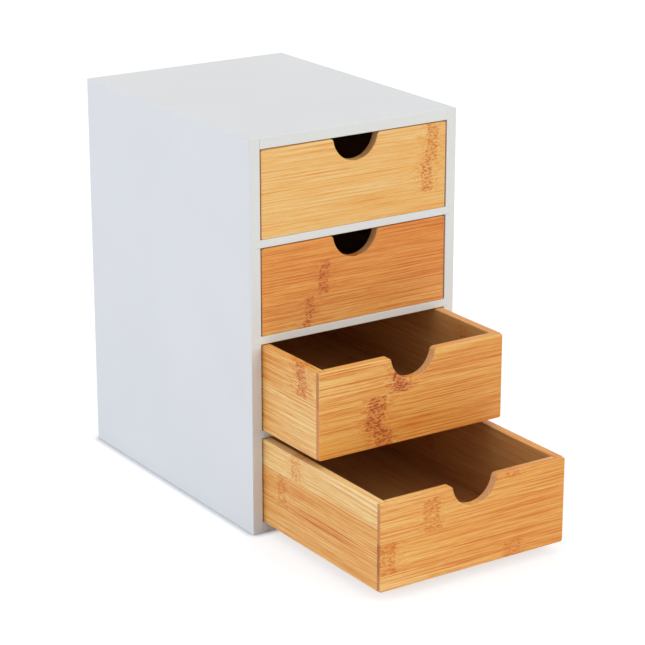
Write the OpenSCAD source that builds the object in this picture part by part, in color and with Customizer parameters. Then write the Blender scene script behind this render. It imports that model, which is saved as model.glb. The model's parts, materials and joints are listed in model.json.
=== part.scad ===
// Desk organizer: a white box with a column of four bamboo drawers.
// Millimetres, +Z up. The origin is the centre of the carcass's footprint, on the surface that it
// stands on. The drawers open towards -Y.

/* [Carcass] */
// Overall width of the carcass
carcass_w = 150; // [120:1:220]
// Overall depth of the carcass, front edge to back
carcass_d = 200; // [150:1:320]
// Overall height of the carcass
carcass_h = 250; // [190:1:420]
// Thickness of each side panel
side_t = 7; // [6:0.5:12]
// Thickness of the top panel
top_t = 7; // [6:0.5:12]
// Thickness of the bottom panel
bottom_t = 7; // [6:0.5:12]
// Thickness of each shelf
shelf_t = 5; // [4:0.5:9]
// Depth of the dado in a side panel that a shelf end sits in
dado_depth = 2.5; // [1:0.5:3.5]
// Thickness of the back panel
back_t = 3; // [2:0.5:5]
// How far the back panel laps over the panels round it
back_lap = 3.5; // [3:0.5:4.5]

/* [Drawer boards] */
// Thickness of each drawer front
front_t = 6; // [5:0.5:10]
// Thickness of the drawer sides and backs
wall_t = 6; // [5:0.5:10]
// Thickness of the lip, on fronts and backs, that covers the ends of the sides
lip_t = 3; // [2:0.5:3.5]
// Thickness of each drawer bottom
floor_t = 3; // [2:0.5:5]
// Height of a drawer bottom above the drawer's lower edge
floor_rise = 3; // [2:0.5:6]
// Depth of the grooves that hold a drawer bottom
groove_depth = 3; // [1.5:0.5:3.5]
// Radius on the corners of the drawer fronts, seen from the front
corner_r = 1.5; // [0.5:0.25:3]

/* [Finger notch] */
// Radius of the half-round notch
notch_r = 16; // [8:0.5:22]
// Height of the notch's centre above the top edge of the drawer front
notch_rise = 0.8; // [0:0.1:4]
// Radius on the shoulders, where the notch meets the top edge
shoulder_r = 2.5; // [0.5:0.25:5]

/* [Fits] */
// Gap between a drawer and the side panel, on each side
side_gap = 0.7; // [0.3:0.1:2]
// Gap between a drawer and what is above it
top_gap = 0.6; // [0.3:0.1:2]
// Gap between a shut drawer and the back panel
back_gap = 1; // [0.5:0.5:5]
// Gap round the edge of a drawer bottom in its grooves
groove_gap = 0.2; // [0.1:0.05:0.5]

/* [Drawer positions] */
// How far the top drawer is pulled out
top_pull = 0; // [0:0.5:150]
// How far the second drawer is pulled out
second_pull = 0; // [0:0.5:150]
// How far the third drawer is pulled out
third_pull = 61.5; // [0:0.5:150]
// How far the bottom drawer is pulled out
bottom_pull = 124.5; // [0:0.5:150]

/* [Fasteners] */
// Diameter of the brads that hold the sides to the top and bottom panels
brad_d = 1.2; // [1:0.1:1.6]
// Length of a brad
brad_l = 22; // [15:1:30]
// Depth of the filled and painted pocket over a brad
brad_set = 1.2; // [0.5:0.1:2]
// Distance from the front and back edges to the nearest brad
brad_inset = 25; // [12:1:50]
// Number of brads along each corner
brad_count = 3; // [2:1:5]
// Diameter of the pins that hold the back panel
pin_d = 1; // [0.8:0.1:1.2]
// Length of a pin, head included
pin_l = 12; // [8:1:16]
// Diameter of a pin's head
pin_head_d = 2.2; // [1.6:0.1:2.6]
// Thickness of a pin's head
pin_head_t = 0.5; // [0.3:0.1:0.8]
// Distance of the upper and lower pins from the middle of the back
pin_spread = 35; // [20:1:45]

/* [Hidden] */
$fn = 64;

// Overlap of a cutting solid past the face that it opens
over = 1;

white = "whitesmoke";
bamboo_tones = ["burlywood", "peru", "sandybrown", "burlywood"];
steel = "silver";

// Names from the top down
SHELVES = ["upper_shelf", "middle_shelf", "lower_shelf"];
DRAWERS = ["top_drawer", "second_drawer", "third_drawer", "bottom_drawer"];
pulls = [top_pull, second_pull, third_pull, bottom_pull];

// Carcass
bay_count = len(DRAWERS);
inner_w = carcass_w - 2 * side_t;
bay_h = (carcass_h - top_t - bottom_t - len(SHELVES) * shelf_t) / bay_count;
front_y = -carcass_d / 2;
back_y = carcass_d / 2;
back_face_y = back_y - back_t;
under_top = carcass_h - top_t;

// Height of the floor of a bay, counted from the top and from 0
function bay_floor(i) = under_top - (i + 1) * bay_h - i * shelf_t;

// Drawers
drawer_w = inner_w - 2 * side_gap;
drawer_h = bay_h - top_gap;
drawer_d = carcass_d - back_t - back_gap;

// Overlap by which the shoulder arcs cross the notch and the top edge, where they would only touch
arc_cross = 0.02;

// Centre of the circle that rounds a shoulder, from the middle of the top edge
shoulder_z = arc_cross - shoulder_r;
shoulder_x = sqrt(pow(notch_r + shoulder_r - arc_cross, 2) - pow(notch_rise - shoulder_z, 2));

// A box between two opposite corners
module block(low, high) {
    translate(low) cube(high - low);
}

// A rectangle with rounded corners, centred on X and standing on Y = 0
module rounded_sheet(w, h, r) {
    translate([-w / 2, r]) square([w, h - 2 * r]);
    translate([-w / 2 + r, 0]) square([w - 2 * r, h]);
    for (x = [-w / 2 + r, w / 2 - r], y = [r, h - r]) translate([x, y]) circle(r);
}

// The space of the back panel, which is also its rebate in the panels round it
module back_space(past = 0) {
    block([-inner_w / 2 - back_lap, back_face_y, bottom_t - back_lap],
          [inner_w / 2 + back_lap, back_y + past, under_top + back_lap]);
}

// The space of one shelf, ends in their dados
module shelf_space(i, past = 0) {
    block([-inner_w / 2 - dado_depth, front_y - past, bay_floor(i) - shelf_t],
          [inner_w / 2 + dado_depth, back_face_y, bay_floor(i)]);
}

// The brads, which lie along X through the sides into the ends of the top and bottom panels
module brads() {
    head_x = carcass_w / 2 - brad_set;
    step = (carcass_d - 2 * brad_inset) / (brad_count - 1);
    for (side = [-1, 1], z = [bottom_t / 2, carcass_h - top_t / 2], k = [0 : brad_count - 1])
        translate([side * head_x, front_y + brad_inset + k * step, z])
            rotate([0, -90 * side, 0]) cylinder(d = brad_d, h = brad_l);
}

// One pin, its head's face on the back of the back panel
module pin() {
    rotate([90, 0, 0]) {
        cylinder(d = pin_d, h = pin_l);
        cylinder(d = pin_head_d, h = pin_head_t);
    }
}

// The pins round the back panel: one at each side of each bay, two along the top and the bottom
module pins() {
    side_x = inner_w / 2 + back_lap / 2;
    for (side = [-1, 1]) {
        for (i = [0 : bay_count - 1]) translate([side * side_x, back_y, bay_floor(i) + bay_h / 2]) pin();
        for (z = [bottom_t - back_lap / 2, under_top + back_lap / 2])
            translate([side * pin_spread, back_y, z]) pin();
    }
}

module side_panel(side) {
    inner = side * inner_w / 2;
    outer = side * carcass_w / 2;
    color(white) difference() {
        block([min(inner, outer), front_y, 0], [max(inner, outer), back_y, carcass_h]);
        for (i = [0 : len(SHELVES) - 1]) shelf_space(i, past = over);
        back_space(past = over);
        brads();
        pins();
    }
}

// A panel between the sides, from one height to another
module cross_panel(low_z, high_z) {
    color(white) difference() {
        block([-inner_w / 2, front_y, low_z], [inner_w / 2, back_y, high_z]);
        back_space(past = over);
        brads();
        pins();
    }
}

module shelf(i) {
    color(white) shelf_space(i);
}

module back_panel() {
    color(white) difference() {
        back_space();
        pins();
    }
}

module corner_brads() {
    color(steel) brads();
}

module back_panel_pins() {
    color(steel) pins();
}

// Puts a drawer's own frame in place: its front face on Y = 0, its lower edge on Z = 0
module in_bay(i) {
    color(bamboo_tones[i]) translate([0, front_y - pulls[i], bay_floor(i)]) children();
}

// The space of a drawer bottom in its grooves, drawn in by a gap all round
module floor_space(gap = 0) {
    x = drawer_w / 2 - wall_t + groove_depth - gap;
    block([-x, front_t - groove_depth + gap, floor_rise],
          [x, drawer_d - wall_t + groove_depth - gap, floor_rise + floor_t]);
}

// One side of a drawer, between the lips of the front and the back
module wall_space(side) {
    inner = side * (drawer_w / 2 - wall_t);
    outer = side * drawer_w / 2;
    block([min(inner, outer), lip_t, 0], [max(inner, outer), drawer_d - lip_t, drawer_h]);
}

// Outline of the finger notch below the top edge, which is on Y = 0
module notch_outline() {
    translate([0, notch_rise]) circle(notch_r);
    difference() {
        polygon([
            [-shoulder_x, notch_rise + over], [-shoulder_x, shoulder_z], [0, notch_rise],
            [shoulder_x, shoulder_z], [shoulder_x, notch_rise + over]
        ]);
        for (side = [-1, 1]) translate([side * shoulder_x, shoulder_z]) circle(shoulder_r);
    }
}

module drawer_front(i) {
    in_bay(i) difference() {
        translate([0, front_t, 0]) rotate([90, 0, 0]) linear_extrude(front_t) difference() {
            rounded_sheet(drawer_w, drawer_h, corner_r);
            translate([0, drawer_h]) notch_outline();
        }
        for (side = [-1, 1]) wall_space(side);
        floor_space();
    }
}

module drawer_side(i, side) {
    in_bay(i) difference() {
        wall_space(side);
        floor_space();
    }
}

module drawer_back(i) {
    in_bay(i) difference() {
        block([-drawer_w / 2, drawer_d - wall_t, 0], [drawer_w / 2, drawer_d, drawer_h]);
        for (side = [-1, 1]) wall_space(side);
        floor_space();
    }
}

module drawer_bottom(i) {
    in_bay(i) floor_space(gap = groove_gap);
}

side_panel(-1);  // left_side_panel
side_panel(1);  // right_side_panel
cross_panel(under_top, carcass_h);  // top_panel
cross_panel(0, bottom_t);  // bottom_panel
back_panel();
for (i = [0 : len(SHELVES) - 1]) shelf(i);
corner_brads();
back_panel_pins();
for (i = [0 : len(DRAWERS) - 1]) {
    drawer_front(i);
    drawer_side(i, -1);
    drawer_side(i, 1);
    drawer_back(i);
    drawer_bottom(i);
}
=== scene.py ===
import json
import math
import random
from collections import namedtuple

import bmesh
import bpy
from bpy.props import FloatProperty, FloatVectorProperty, PointerProperty
from mathutils import Color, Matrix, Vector


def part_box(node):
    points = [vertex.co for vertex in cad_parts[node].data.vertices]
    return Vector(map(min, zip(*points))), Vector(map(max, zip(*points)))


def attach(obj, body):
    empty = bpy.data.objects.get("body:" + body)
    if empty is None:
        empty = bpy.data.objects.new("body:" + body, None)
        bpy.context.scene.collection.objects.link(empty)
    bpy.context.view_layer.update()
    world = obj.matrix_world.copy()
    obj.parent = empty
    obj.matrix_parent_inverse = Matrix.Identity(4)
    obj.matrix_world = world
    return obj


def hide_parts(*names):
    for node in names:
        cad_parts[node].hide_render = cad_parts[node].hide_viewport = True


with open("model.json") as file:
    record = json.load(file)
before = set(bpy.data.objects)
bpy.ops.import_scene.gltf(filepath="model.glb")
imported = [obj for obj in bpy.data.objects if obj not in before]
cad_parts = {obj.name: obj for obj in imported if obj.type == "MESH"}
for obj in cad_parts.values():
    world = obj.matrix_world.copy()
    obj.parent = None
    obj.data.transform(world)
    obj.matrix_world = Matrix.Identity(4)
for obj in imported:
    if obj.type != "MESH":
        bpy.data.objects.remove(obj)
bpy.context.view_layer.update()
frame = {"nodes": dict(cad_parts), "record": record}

bl_info = {
    "name": "Bamboo Drawer Organizer",
    "version": (1, 0, 0),
    "blender": (4, 5, 0),
    "location": "3D View > Sidebar > Organizer",
    "description": "Finishes a desk organizer: painted carcass, bamboo drawers and a plain studio",
    "category": "Add Mesh",
}

MM = 0.001

DRAWERS = ("top_drawer", "second_drawer", "third_drawer", "bottom_drawer")
SIDE_PANELS = ("left_side_panel", "right_side_panel")
CROSS_PANELS = ("top_panel", "bottom_panel")
SHELVES = ("upper_shelf", "middle_shelf", "lower_shelf")

# Bamboo tone of each drawer, which also names its material slot
DRAWER_TONES = {
    "top_drawer": "pale",
    "second_drawer": "amber",
    "third_drawer": "honey",
    "bottom_drawer": "honey",
}

# A strip of a board: its height in mm, its tone from -1 (dark) to 1 (light), where its knuckle lies
# along the board from the middle and how wide that is, both in mm, and how dark the knuckle is
Strip = namedtuple("Strip", "height tone knuckle width mark")

# Strips that a board is glued up from, bottom to top
BOARD_STRIPS = {
    "top_drawer_front": (
        Strip(12, 0.03, 0, 0, 0.0),
        Strip(19, 0.08, 52.5, 8, 1.12),
        Strip(24, -0.15, 56.5, 8, 1.0),
    ),
    "second_drawer_front": (
        Strip(19.5, 0.3, -34, 6, 0.56),
        Strip(21, 0.12, -22.5, 7, 0.52),
        Strip(15, 0.06, 0, 0, 0.0),
    ),
    "third_drawer_front": (
        Strip(11.5, -0.4, -20.5, 12, 0.82),
        Strip(20.5, 0.0, -26.5, 12, 0.9),
        Strip(23, 0.2, -8.5, 10, 1.05),
    ),
    "bottom_drawer_front": (
        Strip(10, 0.25, 28, 12, 0.7),
        Strip(20, -0.05, -62, 12, 0.8),
        Strip(21, 0.1, -31, 12, 0.7),
        Strip(4, 0.2, 28, 10, 0.5),
    ),
    "third_drawer_left_side": (
        Strip(16, 0.17, 0, 0, 0.0),
        Strip(18.5, 0.2, 0, 0, 0.0),
        Strip(21, -0.1, -78, 10, 1.4),
    ),
    "bottom_drawer_left_side": (
        Strip(18, 0.22, 0, 0, 0.0),
        Strip(20.5, 0.25, 5, 10, 0.6),
        Strip(17, 0.93, -10, 10, 0.6),
    ),
}

# Ranges that the strips of the other boards are drawn from, and the share of them that have a knuckle
STRIP_HEIGHTS = (15, 22)
STRIP_TONES = (-0.4, 0.4)
KNUCKLE_WIDTHS = (6, 12)
KNUCKLE_MARKS = (0.4, 1.0)
KNUCKLE_SHARE = 0.6

# Spans of the tones and marks, which a colour ramp holds as shares of them
TONE_SPAN = 4.0
MARK_SPAN = 2.0

# Boards with dark brown knuckles, and painted shade: how much darker a board's tone gets from one end to
# the other
DARK_KNUCKLES = ("second_drawer_front", "third_drawer_front")
BOARD_SHADE_LEANS = {
    "top_drawer_front": -0.35,
    "second_drawer_front": -0.15,
    "third_drawer_front": -0.35,
    "bottom_drawer_front": -0.6,
    "third_drawer_left_side": -1.0,
}

# Dark flame in a board: its place in mm along from the middle and above the lower edge, and how dark it is
FLAMES = {"bottom_drawer_left_side": (-42, 19.5, 1.0)}
NO_FLAME = (0, 0, 0)
FLAME_HALF_LENGTH = 48
FLAME_HALF_HEIGHT = 9

# Half of the width in mm, round the middle of a board, in which cut faces belong to a notch
NOTCH_REACH = 25

# Which object axes run along the grain, up the strips and through the board
GRAIN = {
    "front": "XZY",
    "back": "XZY",
    "left_side": "YZX",
    "right_side": "YZX",
    "bottom": "YXZ",
}

# Which way through the board the inside of the drawer lies
INWARD = {"front": 1, "back": -1, "left_side": 1, "right_side": -1, "bottom": 1}

# Distances within which corners of a mesh are one corner, and within which boards touch
WELD = 0.001 * MM
TOUCH = 0.02 * MM

# Angles below which faces lie flat beside each other, and from which their edge is eased
FLAT = math.radians(0.5)
SHARP = math.radians(20)

# Steps round an eased edge
EASE_SEGMENTS = 4

# Gaps along X, Y and Z at an end of a board that lies against its neighbours
SNUG = (0.0, 0.0, 0.0)

# Depth in mm and strength of the relief of bamboo and of paint
BAMBOO_RELIEF = (0.06, 0.15)
PAINT_RELIEF = (0.05, 0.12)

# How far the paint's roughness varies, and the darkest and lightest steel
PAINT_VARIATION = 0.12
STEEL_DARK = (0.42, 0.42, 0.43, 1)
STEEL_LIGHT = (0.62, 0.62, 0.63, 1)

# A lamp: where it shines from, in degrees round the organizer and above the horizon, and its colour
Lamp = namedtuple("Lamp", "azimuth elevation colour")
LAMPS = {
    "left": Lamp(-108, 10, (0.81, 0.865, 0.945)),
    "front": Lamp(30, 22, (1.0, 0.96, 0.80)),
    "overhead": Lamp(0, 90, (0.84, 0.88, 1.0)),
}
LAMP_SPREAD = math.radians(60)
WHITE = (1, 1, 1, 1)

# Half of the width of the studio floor, in metres
FLOOR_HALF = 6.0


def linear(colour):
    """A display colour as the scene-linear red, green, blue and alpha of a shader socket."""
    return (*Color(colour[:3]).from_srgb_to_scene_linear(), 1.0)


class OrganizerPaint(bpy.types.PropertyGroup):
    """The painted carcass."""

    colour: FloatVectorProperty(
        name="Paint", description="Colour of the carcass", subtype="COLOR_GAMMA",
        size=3, min=0, max=1, default=(0.895, 0.9, 0.905))
    roughness: FloatProperty(
        name="Roughness", description="Roughness of the satin paint", subtype="FACTOR",
        min=0, max=1, default=0.42)
    ease: FloatProperty(
        name="Edge easing", description="Radius on the open edges of the panels", unit="LENGTH",
        min=0, max=0.002, precision=5, default=0.4 * MM)
    seam: FloatProperty(
        name="Seam", description="Radius on the edges where two panels meet", unit="LENGTH",
        min=0, max=0.001, precision=5, default=0.03 * MM)
    back_gap: FloatProperty(
        name="Back gap", description="Gap round the back panel in its rebate", unit="LENGTH",
        min=0, max=0.0005, precision=5, default=0.25 * MM)


class OrganizerBamboo(bpy.types.PropertyGroup):
    """The bamboo drawers."""

    pale: FloatVectorProperty(
        name="Pale bamboo", description="Colour of the lightest boards", subtype="COLOR_GAMMA",
        size=3, min=0, max=1, default=(0.948, 0.784, 0.525))
    honey: FloatVectorProperty(
        name="Honey bamboo", description="Colour of the middle boards", subtype="COLOR_GAMMA",
        size=3, min=0, max=1, default=(0.936, 0.704, 0.365))
    amber: FloatVectorProperty(
        name="Amber bamboo", description="Colour of the darkest boards", subtype="COLOR_GAMMA",
        size=3, min=0, max=1, default=(0.925, 0.625, 0.265))
    pale_streak: FloatVectorProperty(
        name="Pale streaks", description="Tint of the darker fibres in pale boards",
        subtype="COLOR_GAMMA", size=3, min=0, max=1, default=(0.985, 0.886, 0.7))
    honey_streak: FloatVectorProperty(
        name="Honey streaks", description="Tint of the darker fibres in middle boards",
        subtype="COLOR_GAMMA", size=3, min=0, max=1, default=(0.945, 0.81, 0.63))
    amber_streak: FloatVectorProperty(
        name="Amber streaks", description="Tint of the darker fibres in dark boards",
        subtype="COLOR_GAMMA", size=3, min=0, max=1, default=(0.935, 0.8, 0.65))
    light: FloatVectorProperty(
        name="Light strips", description="Colour that the lightest strips lean towards",
        subtype="COLOR_GAMMA", size=3, min=0, max=1, default=(0.985, 0.87, 0.63))
    knuckle: FloatVectorProperty(
        name="Knuckles", description="Tint of the flecks in most knuckles", subtype="COLOR_GAMMA",
        size=3, min=0, max=1, default=(0.949, 0.854, 0.735))
    dark_knuckle: FloatVectorProperty(
        name="Dark knuckles", description="Tint of the flecks in dark knuckles", subtype="COLOR_GAMMA",
        size=3, min=0, max=1, default=(0.88, 0.73, 0.65))
    # Inner faces darker than the outside: partly bare wood, partly painted shade of the drawers' insides
    inside: FloatVectorProperty(
        name="Inside", description="Colour that the bare inner faces lean towards",
        subtype="COLOR_GAMMA", size=3, min=0, max=1, default=(0.67, 0.52, 0.36))
    end_grain: FloatVectorProperty(
        name="End grain", description="Colour of the sawn ends", subtype="COLOR_GAMMA",
        size=3, min=0, max=1, default=(0.82, 0.52, 0.27))
    notch: FloatVectorProperty(
        name="Notch", description="Colour of the cut face of the finger notches", subtype="COLOR_GAMMA",
        size=3, min=0, max=1, default=(0.86, 0.63, 0.415))
    ease: FloatProperty(
        name="Edge easing", description="Radius on the open edges of the boards", unit="LENGTH",
        min=0, max=0.0014, precision=5, default=0.7 * MM)
    seam: FloatProperty(
        name="Seam", description="Radius on the edges where two boards meet", unit="LENGTH",
        min=0, max=0.001, precision=5, default=0.08 * MM)
    clearance: FloatProperty(
        name="Clearance", description="Hairline between a drawer and the board that it slides on",
        unit="LENGTH", min=0, max=0.0005, precision=5, default=0.02 * MM)


class OrganizerStudio(bpy.types.PropertyGroup):
    """Camera, light and floor."""

    azimuth: FloatProperty(
        name="Azimuth", description="Direction of the camera round the organizer", subtype="ANGLE",
        unit="ROTATION", default=math.radians(-33.6))
    elevation: FloatProperty(
        name="Elevation", description="Height of the camera above the horizon", subtype="ANGLE",
        unit="ROTATION", default=math.radians(18.3))
    distance: FloatProperty(
        name="Distance", description="From the camera to the point that it aims at", unit="LENGTH",
        default=1.426)
    aim: FloatVectorProperty(
        name="Aim", description="Point that the camera looks at", subtype="TRANSLATION", size=3,
        default=(-0.0179, -0.0908, 0.125))
    lens: FloatProperty(
        name="Lens", description="Focal length in millimetres", default=129.5)
    ambient: FloatProperty(
        name="Ambient", description="Even light from all round", min=0, default=0.55)
    left: FloatProperty(
        name="Left light", description="Cool soft light from the left", min=0, default=1.47)
    front: FloatProperty(
        name="Front light", description="Warm soft light from the front and right", min=0, default=1.25)
    overhead: FloatProperty(
        name="Overhead light", description="Cool soft light from above", min=0, default=0.36)
    floor: FloatVectorProperty(
        name="Floor", description="Colour of the floor", subtype="COLOR_GAMMA",
        size=3, min=0, max=1, default=(0.9, 0.913, 0.935))
    floor_share: FloatProperty(
        name="Floor share", description="Share of the floor's own shading that the camera sees",
        subtype="FACTOR", min=0, max=1, default=0.62)
    floor_veil: FloatProperty(
        name="Floor veil", description="Plain white that the camera sees over the floor",
        subtype="FACTOR", min=0, max=1, default=0.655)
    contact: FloatProperty(
        name="Contact shadow", description="Reach of the dark line where something stands on the floor",
        unit="LENGTH", min=0, max=0.05, default=5.5 * MM)


# Meshes

def body_of(node):
    """Name of the body that a CAD node belongs to."""
    bodies = frame["record"]["behaviour"]["bodies"]
    return next(name for name, nodes in bodies.items() if node in nodes)


def neighbours(node):
    """Boxes of the other nodes of a node's body."""
    nodes = frame["record"]["behaviour"]["bodies"][body_of(node)]
    return [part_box(other) for other in nodes if other != node]


def touches(point, boxes):
    """Whether a point lies on or in one of the boxes."""
    return any(
        all(low[i] - TOUCH <= point[i] <= high[i] + TOUCH for i in range(3)) for low, high in boxes
    )


def draw_in(solid, low_gaps, high_gaps):
    """Move the outermost corners of a board inwards by the gaps at its low and high ends."""
    for axis in range(3):
        places = [corner.co[axis] for corner in solid.verts]
        low, high = min(places), max(places)
        for corner in solid.verts:
            if corner.co[axis] <= low + TOUCH:
                corner.co[axis] += low_gaps[axis]
            elif corner.co[axis] >= high - TOUCH:
                corner.co[axis] -= high_gaps[axis]


def eased_copy(node, name, ease, seam, gaps):
    """A copy of a CAD node with its open edges rounded and a hairline where it meets its neighbours."""
    mesh = frame["nodes"][node].data.copy()
    mesh.name = name
    mesh.materials.clear()
    solid = bmesh.new()
    solid.from_mesh(mesh)
    bmesh.ops.remove_doubles(solid, verts=solid.verts, dist=WELD)
    bmesh.ops.recalc_face_normals(solid, faces=solid.faces)
    bmesh.ops.dissolve_limit(solid, angle_limit=FLAT, verts=solid.verts, edges=solid.edges)
    weights = solid.edges.layers.float.new("bevel_weight_edge")
    boxes = neighbours(node)
    for face in solid.faces:
        face.smooth = True
    for edge in solid.edges:
        if edge.calc_face_angle(0) < SHARP:
            continue
        if not edge.is_convex:
            edge.smooth = False
            continue
        middle = (edge.verts[0].co + edge.verts[1].co) / 2
        edge[weights] = seam / ease if touches(middle, boxes) else 1.0
    draw_in(solid, *gaps)
    solid.to_mesh(mesh)
    solid.free()
    piece = bpy.data.objects.new(name, mesh)
    bpy.context.scene.collection.objects.link(piece)
    bevel = piece.modifiers.new("Eased edges", "BEVEL")
    bevel.limit_method = "WEIGHT"
    bevel.width = ease
    bevel.segments = EASE_SEGMENTS
    bevel.use_clamp_overlap = False
    normals = piece.modifiers.new("Flat faces", "WEIGHTED_NORMAL")
    normals.keep_sharp = True
    return piece


def finish_node(node, prefix, props, material, gaps=(SNUG, SNUG)):
    """Stand an eased copy in for a CAD node, with its material and the body that it moves with."""
    piece = eased_copy(node, f"{prefix}_{node}", props.ease, props.seam, gaps)
    piece.data.materials.append(material)
    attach(piece, body_of(node))
    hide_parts(node)
    return piece


# Materials

def add(tree, kind, inputs=(), **settings):
    """Add a node with its own settings, and with values or links for its named inputs."""
    made = tree.nodes.new(kind)
    for key, value in settings.items():
        setattr(made, key, value)
    for socket, value in dict(inputs).items():
        if isinstance(value, bpy.types.NodeSocket):
            tree.links.new(value, made.inputs[socket])
        else:
            made.inputs[socket].default_value = value
    return made


def number(tree, operation, *values, clamp=False):
    """Output of a Math node on numbers or sockets."""
    made = add(tree, "ShaderNodeMath", enumerate(values), operation=operation, use_clamp=clamp)
    return made.outputs[0]


def smooth_step(tree, value, low, high, start=0.0, end=1.0):
    """A number eased from start to end as value goes from low to high."""
    inputs = {"Value": value, "From Min": low, "From Max": high, "To Min": start, "To Max": end}
    return add(tree, "ShaderNodeMapRange", inputs, interpolation_type="SMOOTHSTEP").outputs["Result"]


def scaled(tree, vector, scale):
    """A vector times a constant one."""
    return add(tree, "ShaderNodeVectorMath", {0: vector, 1: scale}, operation="MULTIPLY").outputs[0]


def noise(tree, vector, scale, detail=3.0, roughness=0.55):
    """Noise stretched by a scale per axis, in features per millimetre."""
    place = scaled(tree, vector, scale)
    inputs = {"Vector": place, "Scale": 1.0, "Detail": detail, "Roughness": roughness}
    return add(tree, "ShaderNodeTexNoise", inputs).outputs["Fac"]


def blend(tree, factor, first, second, kind="MIX"):
    """Two colours mixed by a factor."""
    made = add(tree, "ShaderNodeMix", data_type="RGBA", blend_type=kind, clamp_factor=False)
    for index, value in ((0, factor), (6, first), (7, second)):
        if isinstance(value, bpy.types.NodeSocket):
            tree.links.new(value, made.inputs[index])
        else:
            made.inputs[index].default_value = value
    return made.outputs[2]


def shaded(tree, colour, scale):
    """A display colour made lighter or darker by a number."""
    inputs = {0: linear(colour)[:3], "Scale": scale}
    return add(tree, "ShaderNodeVectorMath", inputs, operation="SCALE").outputs[0]


def swizzled(tree, vector, order):
    """A vector with its axes in another order, such as YZX."""
    parts = add(tree, "ShaderNodeSeparateXYZ", {"Vector": vector}).outputs
    inputs = {i: parts[axis] for i, axis in enumerate(order)}
    return add(tree, "ShaderNodeCombineXYZ", inputs).outputs[0]


def seen_directly(tree):
    """1 for rays from the camera, and for those that gloss or glass sends on, else 0."""
    path = add(tree, "ShaderNodeLightPath").outputs
    gloss = number(tree, "MAXIMUM", path["Is Glossy Ray"], path["Is Transmission Ray"])
    return number(tree, "MAXIMUM", path["Is Camera Ray"], gloss)


def new_material(name):
    """A material with its tree, its Principled shader and its object coordinates in millimetres."""
    material = bpy.data.materials.new(name)
    material.use_nodes = True
    tree = material.node_tree
    shader = tree.nodes["Principled BSDF"]
    place = add(tree, "ShaderNodeTexCoord").outputs["Object"]
    return material, tree, shader, scaled(tree, place, (1 / MM,) * 3)


def bump(tree, shader, height, relief):
    """Give a shader relief, of a depth in mm and a strength, from a height of 0 to 1."""
    depth_mm, strength = relief
    inputs = {"Height": height, "Distance": depth_mm * MM, "Strength": strength}
    tree.links.new(add(tree, "ShaderNodeBump", inputs).outputs["Normal"], shader.inputs["Normal"])


# What a board hands to the bamboo group, and what it gets back
GROUP_INPUTS = {
    "Board": "NodeSocketVector",
    "Facing": "NodeSocketVector",
    "Colour": "NodeSocketColor",
    "Streak": "NodeSocketColor",
    "Inward": "NodeSocketFloat",
    "Tone": "NodeSocketFloat",
    "Knuckle": "NodeSocketFloat",
    "Width": "NodeSocketFloat",
    "Mark": "NodeSocketFloat",
    "Fleck": "NodeSocketColor",
    "Seed": "NodeSocketFloat",
    "Flame": "NodeSocketVector",
}
GROUP_OUTPUTS = {
    "Colour": "NodeSocketColor",
    "Roughness": "NodeSocketFloat",
    "Height": "NodeSocketFloat",
}


def weighted(tree, *terms):
    """Sum of numbers, each given with its weight."""
    total = 0.0
    for value, weight in terms:
        total = number(tree, "MULTIPLY_ADD", value, weight, total)
    return total


def centred(tree, value):
    """A number from 0 to 1 moved to -0.5 to 0.5."""
    return number(tree, "SUBTRACT", value, 0.5)


def stained(tree, colour, tint, depth):
    """A colour times a tint raised to a depth, as a stain that goes on more or less thickly."""
    channels = tint
    if isinstance(tint, bpy.types.NodeSocket):
        channels = add(tree, "ShaderNodeSeparateColor", {"Color": tint}).outputs
    powers = {i: number(tree, "POWER", channels[i], depth) for i in range(3)}
    return blend(tree, 1.0, colour, add(tree, "ShaderNodeCombineColor", powers).outputs[0], "MULTIPLY")


def beside_knuckle(tree, along, fibre, knuckle):
    """Distance in mm along the grain from a strip's knuckle, which is a little slanted and ragged."""
    slant = noise(tree, fibre, (0.0, 0.05, 0.05), detail=0)
    ragged = noise(tree, fibre, (0.1, 0.8, 0.8), detail=2)
    away = number(tree, "SUBTRACT", along, knuckle)
    away = number(tree, "MULTIPLY_ADD", centred(tree, slant), 7.0, away)
    away = number(tree, "MULTIPLY_ADD", centred(tree, ragged), 5.0, away)
    return number(tree, "ABSOLUTE", away)


def knuckle_flecks(tree, fibre, beside, width):
    """Stain of the cut fibre bundles in a knuckle: a dense band of flecks, with a few more beside it."""
    flecks = noise(tree, fibre, (0.42, 0.85, 0.85), detail=2, roughness=0.6)
    flecks = smooth_step(tree, flecks, 0.46, 0.61)
    outside = number(tree, "MULTIPLY_ADD", width, -0.5, beside)
    band = smooth_step(tree, outside, -0.7, 0.7, 1.0, 0.0)
    rim = number(tree, "ABSOLUTE", number(tree, "ADD", outside, 1.8))
    dense = number(tree, "MULTIPLY", band, smooth_step(tree, rim, 0.8, 2.8, 1.0, 0.8))
    loose = smooth_step(tree, outside, 0.0, 10.0, 0.3, 0.0)
    flecks = number(tree, "MULTIPLY", flecks, number(tree, "MAXIMUM", dense, loose))
    return weighted(tree, (band, 0.42), (flecks, 2.3))


def flame_shade(tree, board, flame):
    """Stain of a long flame, which ends sharply below; X, Y and Z give its place and its strength."""
    place = add(tree, "ShaderNodeSeparateXYZ", {"Vector": flame}).outputs
    along = number(tree, "DIVIDE", number(tree, "SUBTRACT", board["X"], place["X"]), FLAME_HALF_LENGTH)
    up = number(tree, "DIVIDE", number(tree, "SUBTRACT", board["Y"], place["Y"]), FLAME_HALF_HEIGHT)
    up = number(tree, "MAXIMUM", up, number(tree, "MULTIPLY", up, -5.0))
    away = number(tree, "MULTIPLY_ADD", along, along, number(tree, "MULTIPLY", up, up))
    return number(tree, "MULTIPLY", smooth_step(tree, away, 0.0, 1.0, 1.0, 0.0), place["Z"])


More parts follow.
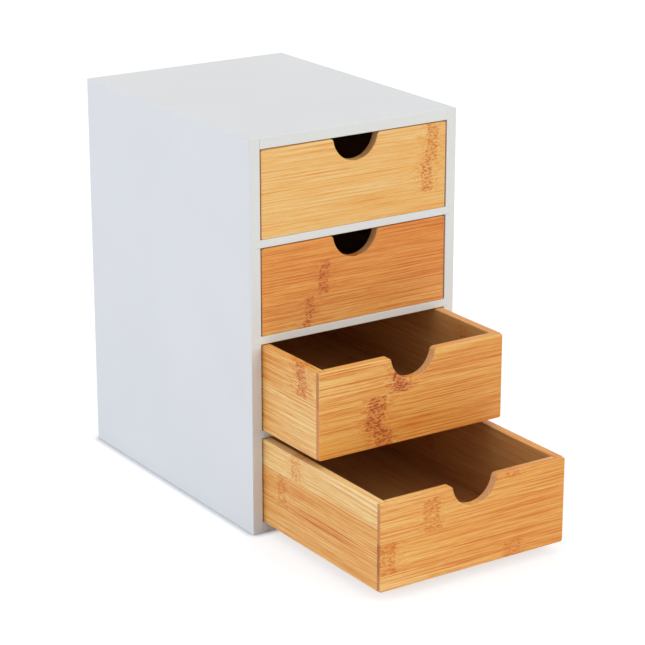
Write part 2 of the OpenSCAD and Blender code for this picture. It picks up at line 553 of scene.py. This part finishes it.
def bamboo_group(props):
    """Node group that turns a board's own coordinates, along, up and through it in mm, into bamboo."""
    tree = bpy.data.node_groups.get("Bamboo")
    if tree:
        return tree
    tree = bpy.data.node_groups.new("Bamboo", "ShaderNodeTree")
    for name, kind in GROUP_INPUTS.items():
        tree.interface.new_socket(name, in_out="INPUT", socket_type=kind)
    for name, kind in GROUP_OUTPUTS.items():
        tree.interface.new_socket(name, in_out="OUTPUT", socket_type=kind)
    given = tree.nodes.new("NodeGroupInput").outputs
    result = tree.nodes.new("NodeGroupOutput").inputs

    # Each strip takes its fibres from another place, and they wander a little up and down
    board = add(tree, "ShaderNodeSeparateXYZ", {"Vector": given["Board"]}).outputs
    wander = centred(tree, noise(tree, given["Board"], (0.018, 0.05, 0.05), detail=1))
    shift = add(tree, "ShaderNodeCombineXYZ", {
        0: number(tree, "MULTIPLY", given["Seed"], 900.0),
        1: weighted(tree, (given["Seed"], 310.0), (wander, 1.2)),
    }).outputs[0]
    fibre = add(tree, "ShaderNodeVectorMath", {0: given["Board"], 1: shift}, operation="ADD").outputs[0]
    beside = beside_knuckle(tree, board["X"], fibre, given["Knuckle"])
    flecks = number(tree, "MULTIPLY", knuckle_flecks(tree, fibre, beside, given["Width"]), given["Mark"])
    feather = number(tree, "MULTIPLY", smooth_step(tree, beside, 4.0, 24.0, 0.8, 0.0), given["Mark"])

    # Fibres, long ones that turn short and feathery beside the knuckle
    broad = smooth_step(tree, noise(tree, fibre, (0.006, 0.09, 0.09), detail=1), 0.3, 0.7)
    long = noise(tree, fibre, (0.012, 1.1, 1.1), detail=4, roughness=0.78)
    short = noise(tree, fibre, (0.1, 1.1, 1.1), detail=4, roughness=0.78)
    woven = add(tree, "ShaderNodeMix", {0: feather, 2: long, 3: short}).outputs[0]
    streaks = smooth_step(tree, woven, 0.42, 0.70)
    lines = smooth_step(tree, noise(tree, fibre, (0.008, 0.55, 0.55), detail=2), 0.6, 0.74)
    fine = noise(tree, fibre, (0.12, 2.4, 2.4), detail=2)
    flame = number(tree, "MULTIPLY_ADD", streaks, 0.6, 0.7)
    flame = number(tree, "MULTIPLY", flame, flame_shade(tree, board, given["Flame"]))

    # Pale strips have fainter streaks
    paleness = number(tree, "MULTIPLY", given["Tone"], 0.6, clamp=True)
    strength = smooth_step(tree, given["Tone"], 0.4, 1.2, 2.5, 1.4)
    depth = weighted(
        tree,
        (streaks, strength),
        (broad, 0.4),
        (lines, 0.6),
        (fine, 1.2),
        (flame, 1.0),
        (given["Tone"], -0.3),
    )
    depth = number(tree, "MAXIMUM", number(tree, "SUBTRACT", depth, 0.75), -0.35)
    colour = blend(tree, paleness, given["Colour"], linear(props.light))
    colour = stained(tree, colour, given["Streak"], depth)

    # The inside, left bare and also darkened as painted shade
    facing = add(tree, "ShaderNodeSeparateXYZ", {"Vector": given["Facing"]}).outputs
    bare_and_shaded = smooth_step(tree, number(tree, "MULTIPLY", facing["Z"], given["Inward"]), 0.6, 0.95, 0.0, 0.6)
    colour = blend(tree, bare_and_shaded, colour, linear(props.inside))

    # Sawn ends, darker in some strips than in others, and the paler cut of a notch in the middle
    across = smooth_step(tree, number(tree, "ABSOLUTE", facing["Z"]), 0.2, 0.6, 1.0, 0.0)
    tilt = number(tree, "ABSOLUTE", facing["X"])
    sawn = number(tree, "MULTIPLY", smooth_step(tree, tilt, 0.4, 0.98), across)
    pores = smooth_step(tree, noise(tree, fibre, (0.2, 2.2, 2.2), detail=2), 0.35, 0.65, 0.8, 1.1)
    end = number(tree, "MULTIPLY", pores, number(tree, "MULTIPLY_ADD", given["Seed"], 0.5, 0.65))
    colour = blend(tree, sawn, colour, shaded(tree, props.end_grain, end))
    middle = number(tree, "ABSOLUTE", board["X"])
    middle = smooth_step(tree, middle, NOTCH_REACH, NOTCH_REACH + 1, 1.0, 0.0)
    cut = number(tree, "MULTIPLY", smooth_step(tree, tilt, 0.1, 0.5), across)
    cut = number(tree, "MULTIPLY", middle, cut)
    colour = blend(tree, cut, colour, shaded(tree, props.notch, pores))
    colour = stained(tree, colour, given["Fleck"], flecks)

    tree.links.new(colour, result["Colour"])
    tree.links.new(number(tree, "MULTIPLY_ADD", fine, 0.16, 0.38), result["Roughness"])
    tree.links.new(weighted(tree, (fine, 0.5), (long, 0.5), (flecks, -0.4)), result["Height"])
    return tree


def strips_of(node, height_mm, length_mm):
    """Strips that a board is glued up from: those stated for it, or else drawn from its own name."""
    if node in BOARD_STRIPS:
        return BOARD_STRIPS[node]
    draw = random.Random(node)
    strips, left = [], height_mm
    while left > 0:
        height = draw.uniform(*STRIP_HEIGHTS)
        tone = draw.uniform(*STRIP_TONES)
        knuckle = draw.uniform(-length_mm / 2, length_mm / 2)
        mark = draw.uniform(*KNUCKLE_MARKS) if draw.random() < KNUCKLE_SHARE else 0.0
        strips.append(Strip(height, tone, knuckle, draw.uniform(*KNUCKLE_WIDTHS), mark))
        left -= height
    return strips


def stepped(tree, share, starts, rows):
    """Three numbers that change from strip to strip, at a share of the board's height."""
    ramp = add(tree, "ShaderNodeValToRGB", {"Fac": share})
    ramp.color_ramp.interpolation = "CONSTANT"
    stops = ramp.color_ramp.elements
    stops.remove(stops[1])
    for index, (start, row) in enumerate(zip(starts, rows)):
        stop = stops[0] if index == 0 else stops.new(min(start, 1.0))
        stop.color = (*row, 1.0)
    return add(tree, "ShaderNodeSeparateColor", {"Color": ramp.outputs["Color"]}).outputs


def bamboo_material(node, piece, colour, props):
    """Bamboo for one board, with its own strips, tones and knuckles."""
    order = GRAIN[piece]
    low, high = (Vector(corner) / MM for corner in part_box(node))
    along, up = ("XYZ".index(axis) for axis in order[:2])
    bottom, height = low[up], high[up] - low[up]
    middle, length = (low[along] + high[along]) / 2, high[along] - low[along]

    material, tree, shader, place = new_material(f"Bamboo {node}")
    board = swizzled(tree, place, order)
    facing = swizzled(tree, add(tree, "ShaderNodeNewGeometry").outputs["Normal"], order)
    parts = add(tree, "ShaderNodeSeparateXYZ", {"Vector": board}).outputs
    wander = centred(tree, noise(tree, board, (0.02, 0.0, 0.0), detail=1))
    rise = number(tree, "MULTIPLY_ADD", wander, 1.2, parts["Y"])
    share = number(tree, "MULTIPLY_ADD", rise, 1 / height, -bottom / height)
    strips = strips_of(node, height, length)
    starts = [sum(strip.height for strip in strips[:i]) / height for i in range(len(strips))]
    seeds = random.Random(f"fibres {node}")
    makeup = stepped(tree, share, starts, [
        (strip.tone / TONE_SPAN + 0.5, strip.knuckle / length + 0.5, seeds.random()) for strip in strips
    ])
    knuckle = stepped(tree, share, starts, [
        (strip.width / length, strip.mark / MARK_SPAN, 0.0) for strip in strips
    ])
    tone = number(tree, "MULTIPLY_ADD", makeup["Red"], TONE_SPAN, -TONE_SPAN / 2)
    # Painted shade: the tone darkens along the board by its lean
    lean = BOARD_SHADE_LEANS.get(node, 0.0) / length
    tone = number(tree, "MULTIPLY_ADD", number(tree, "SUBTRACT", parts["X"], middle), lean, tone)

    bamboo = add(tree, "ShaderNodeGroup", node_tree=bamboo_group(props))
    for socket, value in (
        ("Board", board),
        ("Facing", facing),
        ("Tone", tone),
        ("Knuckle", number(tree, "MULTIPLY_ADD", makeup["Green"], length, middle - length / 2)),
        ("Width", number(tree, "MULTIPLY", knuckle["Red"], length)),
        ("Mark", number(tree, "MULTIPLY", knuckle["Green"], MARK_SPAN)),
        ("Seed", makeup["Blue"]),
    ):
        tree.links.new(value, bamboo.inputs[socket])
    flame_along, flame_up, flame = FLAMES.get(node, NO_FLAME)
    fleck = props.dark_knuckle if node in DARK_KNUCKLES else props.knuckle
    bamboo.inputs["Flame"].default_value = (middle + flame_along, bottom + flame_up, flame)
    bamboo.inputs["Colour"].default_value = linear(getattr(props, colour))
    bamboo.inputs["Streak"].default_value = linear(getattr(props, f"{colour}_streak"))
    bamboo.inputs["Fleck"].default_value = linear(fleck)
    bamboo.inputs["Inward"].default_value = INWARD[piece]
    tree.links.new(bamboo.outputs["Colour"], shader.inputs["Base Color"])
    tree.links.new(bamboo.outputs["Roughness"], shader.inputs["Roughness"])
    bump(tree, shader, bamboo.outputs["Height"], BAMBOO_RELIEF)
    return material


def paint_material(props):
    """Satin white paint with a faint roller stipple."""
    existing = bpy.data.materials.get("White paint")
    if existing:
        return existing
    material, tree, shader, place = new_material("White paint")
    cloud = smooth_step(tree, noise(tree, place, (0.012,) * 3, detail=2), 0.3, 0.7, 0.975, 1.0)
    tree.links.new(shaded(tree, props.colour, cloud), shader.inputs["Base Color"])
    stipple = noise(tree, place, (1.1,) * 3, detail=3)
    smoothest = props.roughness - PAINT_VARIATION / 2
    roughness = number(tree, "MULTIPLY_ADD", stipple, PAINT_VARIATION, smoothest)
    tree.links.new(roughness, shader.inputs["Roughness"])
    bump(tree, shader, stipple, PAINT_RELIEF)
    return material


def steel_material():
    """Plain drawn steel wire."""
    existing = bpy.data.materials.get("Steel wire")
    if existing:
        return existing
    material, tree, shader, place = new_material("Steel wire")
    shader.inputs["Metallic"].default_value = 1.0
    drawn = noise(tree, place, (6.0, 0.4, 6.0), detail=3)
    tree.links.new(blend(tree, drawn, STEEL_DARK, STEEL_LIGHT), shader.inputs["Base Color"])
    tree.links.new(number(tree, "MULTIPLY_ADD", drawn, 0.2, 0.25), shader.inputs["Roughness"])
    return material


# Operators

def finish_painted(nodes, props, gaps=(SNUG, SNUG)):
    """Paint some of the carcass's panels."""
    for node in nodes:
        finish_node(node, "painted", props, paint_material(props), gaps)


def finish_bamboo(piece, scene):
    """Finish the same board of every drawer in bamboo."""
    props = scene.organizer_bamboo
    for drawer in DRAWERS:
        node = f"{drawer}_{piece}"
        tone = DRAWER_TONES[drawer]
        material = bamboo_material(node, piece, tone, props)
        gaps = ((0, 0, props.clearance), SNUG)
        finish_node(node, "bamboo", props, material, gaps)


class ORGANIZER_OT_side_panels(bpy.types.Operator):
    """Paint the two side panels"""

    bl_idname = "organizer.side_panels"
    bl_label = "Side Panels"

    def execute(self, context):
        finish_painted(SIDE_PANELS, context.scene.organizer_paint)
        return {"FINISHED"}


class ORGANIZER_OT_cross_panels(bpy.types.Operator):
    """Paint the top and bottom panels"""

    bl_idname = "organizer.cross_panels"
    bl_label = "Top and Bottom Panels"

    def execute(self, context):
        finish_painted(CROSS_PANELS, context.scene.organizer_paint)
        return {"FINISHED"}


class ORGANIZER_OT_shelves(bpy.types.Operator):
    """Paint the shelves between the drawers"""

    bl_idname = "organizer.shelves"
    bl_label = "Shelves"

    def execute(self, context):
        finish_painted(SHELVES, context.scene.organizer_paint)
        return {"FINISHED"}


class ORGANIZER_OT_back_panel(bpy.types.Operator):
    """Paint the back panel"""

    bl_idname = "organizer.back_panel"
    bl_label = "Back Panel"

    def execute(self, context):
        props = context.scene.organizer_paint
        gap = (props.back_gap, 0, props.back_gap)
        finish_painted(("back_panel",), props, (gap, gap))
        return {"FINISHED"}


class ORGANIZER_OT_fasteners(bpy.types.Operator):
    """Give the brads and the back panel's pins their steel"""

    bl_idname = "organizer.fasteners"
    bl_label = "Brads and Pins"

    def execute(self, context):
        for node in ("corner_brads", "back_panel_pins"):
            mesh = frame["nodes"][node].data
            mesh.materials.clear()
            mesh.materials.append(steel_material())
        return {"FINISHED"}


class ORGANIZER_OT_drawer_fronts(bpy.types.Operator):
    """Finish the drawer fronts"""

    bl_idname = "organizer.drawer_fronts"
    bl_label = "Drawer Fronts"

    def execute(self, context):
        finish_bamboo("front", context.scene)
        return {"FINISHED"}


class ORGANIZER_OT_drawer_sides(bpy.types.Operator):
    """Finish the drawer sides"""

    bl_idname = "organizer.drawer_sides"
    bl_label = "Drawer Sides"

    def execute(self, context):
        finish_bamboo("left_side", context.scene)
        finish_bamboo("right_side", context.scene)
        return {"FINISHED"}


class ORGANIZER_OT_drawer_backs(bpy.types.Operator):
    """Finish the drawer backs"""

    bl_idname = "organizer.drawer_backs"
    bl_label = "Drawer Backs"

    def execute(self, context):
        finish_bamboo("back", context.scene)
        return {"FINISHED"}


class ORGANIZER_OT_drawer_bottoms(bpy.types.Operator):
    """Finish the drawer bottoms"""

    bl_idname = "organizer.drawer_bottoms"
    bl_label = "Drawer Bottoms"

    def execute(self, context):
        finish_bamboo("bottom", context.scene)
        return {"FINISHED"}


def direction(azimuth, elevation):
    """Unit vector from the organizer towards a place round it; azimuth 0 is in front."""
    level = math.cos(elevation)
    return Vector((math.sin(azimuth) * level, -math.cos(azimuth) * level, math.sin(elevation)))


def add_lamp(name, strength):
    """A soft lamp far away, with the direction and colour stated for it."""
    azimuth, elevation, colour = LAMPS[name]
    lamp = bpy.data.lights.new(f"{name}_light", "SUN")
    lamp.energy = strength
    lamp.angle = LAMP_SPREAD
    lamp.color = colour
    made = bpy.data.objects.new(f"{name}_light", lamp)
    towards = direction(math.radians(azimuth), math.radians(elevation))
    made.rotation_euler = towards.to_track_quat("Z", "Y").to_euler()
    bpy.context.scene.collection.objects.link(made)


class ORGANIZER_OT_studio(bpy.types.Operator):
    """Build the floor, the light and the camera"""

    bl_idname = "organizer.studio"
    bl_label = "Studio"

    def execute(self, context):
        props = context.scene.organizer_studio
        self.floor(props)
        self.light(context.scene, props)
        self.camera(context.scene, props)
        context.scene.view_settings.view_transform = "Standard"
        return {"FINISHED"}

    def floor(self, props):
        """A wide pale floor that shows white to the camera and keeps the organizer's shadow."""
        mesh = bpy.data.meshes.new("studio_floor")
        half = FLOOR_HALF
        corners = [(-half, -half, 0), (half, -half, 0), (half, half, 0), (-half, half, 0)]
        mesh.from_pydata(corners, [], [(0, 1, 2, 3)])
        floor = bpy.data.objects.new("studio_floor", mesh)
        bpy.context.scene.collection.objects.link(floor)
        material = bpy.data.materials.new("Studio floor")
        material.use_nodes = True
        tree = material.node_tree
        tree.nodes.clear()
        seen = seen_directly(tree)
        share = number(tree, "MULTIPLY_ADD", seen, props.floor_share - 1.0, 1.0)
        own = shaded(tree, props.floor, share)
        matt = add(tree, "ShaderNodeBsdfDiffuse", {"Color": own}).outputs[0]
        open_sky = add(tree, "ShaderNodeAmbientOcclusion", {"Distance": props.contact}).outputs["AO"]
        veil = number(tree, "MULTIPLY", number(tree, "POWER", open_sky, 2.0), props.floor_veil)
        veil = number(tree, "MULTIPLY", veil, seen)
        white = add(tree, "ShaderNodeEmission", {"Strength": veil}).outputs[0]
        both = add(tree, "ShaderNodeAddShader", {0: matt, 1: white}).outputs[0]
        add(tree, "ShaderNodeOutputMaterial", {"Surface": both})
        mesh.materials.append(material)

    def light(self, scene, props):
        """Even light from all round, with soft lamps to the left, in front and above."""
        world = bpy.data.worlds.new("Studio")
        scene.world = world
        world.use_nodes = True
        tree = world.node_tree
        tree.nodes.clear()
        even, white = (
            add(tree, "ShaderNodeBackground", {"Color": WHITE, "Strength": strength}).outputs[0]
            for strength in (props.ambient, 1.0)
        )
        mixed = add(tree, "ShaderNodeMixShader", {0: seen_directly(tree), 1: even, 2: white}).outputs[0]
        add(tree, "ShaderNodeOutputWorld", {"Surface": mixed})
        for name in LAMPS:
            add_lamp(name, getattr(props, name))

    def camera(self, scene, props):
        """A camera at the photograph's viewing angle."""
        data = bpy.data.cameras.new("camera")
        data.lens = props.lens
        camera = bpy.data.objects.new("camera", data)
        back = direction(props.azimuth, props.elevation)
        camera.location = Vector(props.aim) + back * props.distance
        camera.rotation_euler = (-back).to_track_quat("-Z", "Y").to_euler()
        scene.collection.objects.link(camera)
        scene.camera = camera


# Add-on

STEPS = (
    ORGANIZER_OT_side_panels,
    ORGANIZER_OT_cross_panels,
    ORGANIZER_OT_shelves,
    ORGANIZER_OT_back_panel,
    ORGANIZER_OT_fasteners,
    ORGANIZER_OT_drawer_fronts,
    ORGANIZER_OT_drawer_sides,
    ORGANIZER_OT_drawer_backs,
    ORGANIZER_OT_drawer_bottoms,
    ORGANIZER_OT_studio,
)
SETTINGS = {
    "organizer_paint": OrganizerPaint,
    "organizer_bamboo": OrganizerBamboo,
    "organizer_studio": OrganizerStudio,
}


class VIEW3D_PT_organizer(bpy.types.Panel):
    """Steps and settings of the organizer"""

    bl_label = "Drawer Organizer"
    bl_space_type = "VIEW_3D"
    bl_region_type = "UI"
    bl_category = "Organizer"

    def draw(self, context):
        for step in STEPS:
            self.layout.operator(step.bl_idname)
        for name, group in SETTINGS.items():
            box = self.layout.box()
            for prop in group.__annotations__:
                box.prop(getattr(context.scene, name), prop)


def register():
    for group in SETTINGS.values():
        bpy.utils.register_class(group)
    for name, group in SETTINGS.items():
        setattr(bpy.types.Scene, name, PointerProperty(type=group))
    for cls in (*STEPS, VIEW3D_PT_organizer):
        bpy.utils.register_class(cls)


def unregister():
    for cls in (VIEW3D_PT_organizer, *reversed(STEPS)):
        bpy.utils.unregister_class(cls)
    for name, group in SETTINGS.items():
        delattr(bpy.types.Scene, name)
        bpy.utils.unregister_class(group)


def main():
    register()
    bpy.ops.organizer.side_panels()
    bpy.ops.organizer.cross_panels()
    bpy.ops.organizer.shelves()
    bpy.ops.organizer.back_panel()
    bpy.ops.organizer.fasteners()
    bpy.ops.organizer.drawer_fronts()
    bpy.ops.organizer.drawer_sides()
    bpy.ops.organizer.drawer_backs()
    bpy.ops.organizer.drawer_bottoms()
    bpy.ops.organizer.studio()


if __name__ == "__main__":
    main()
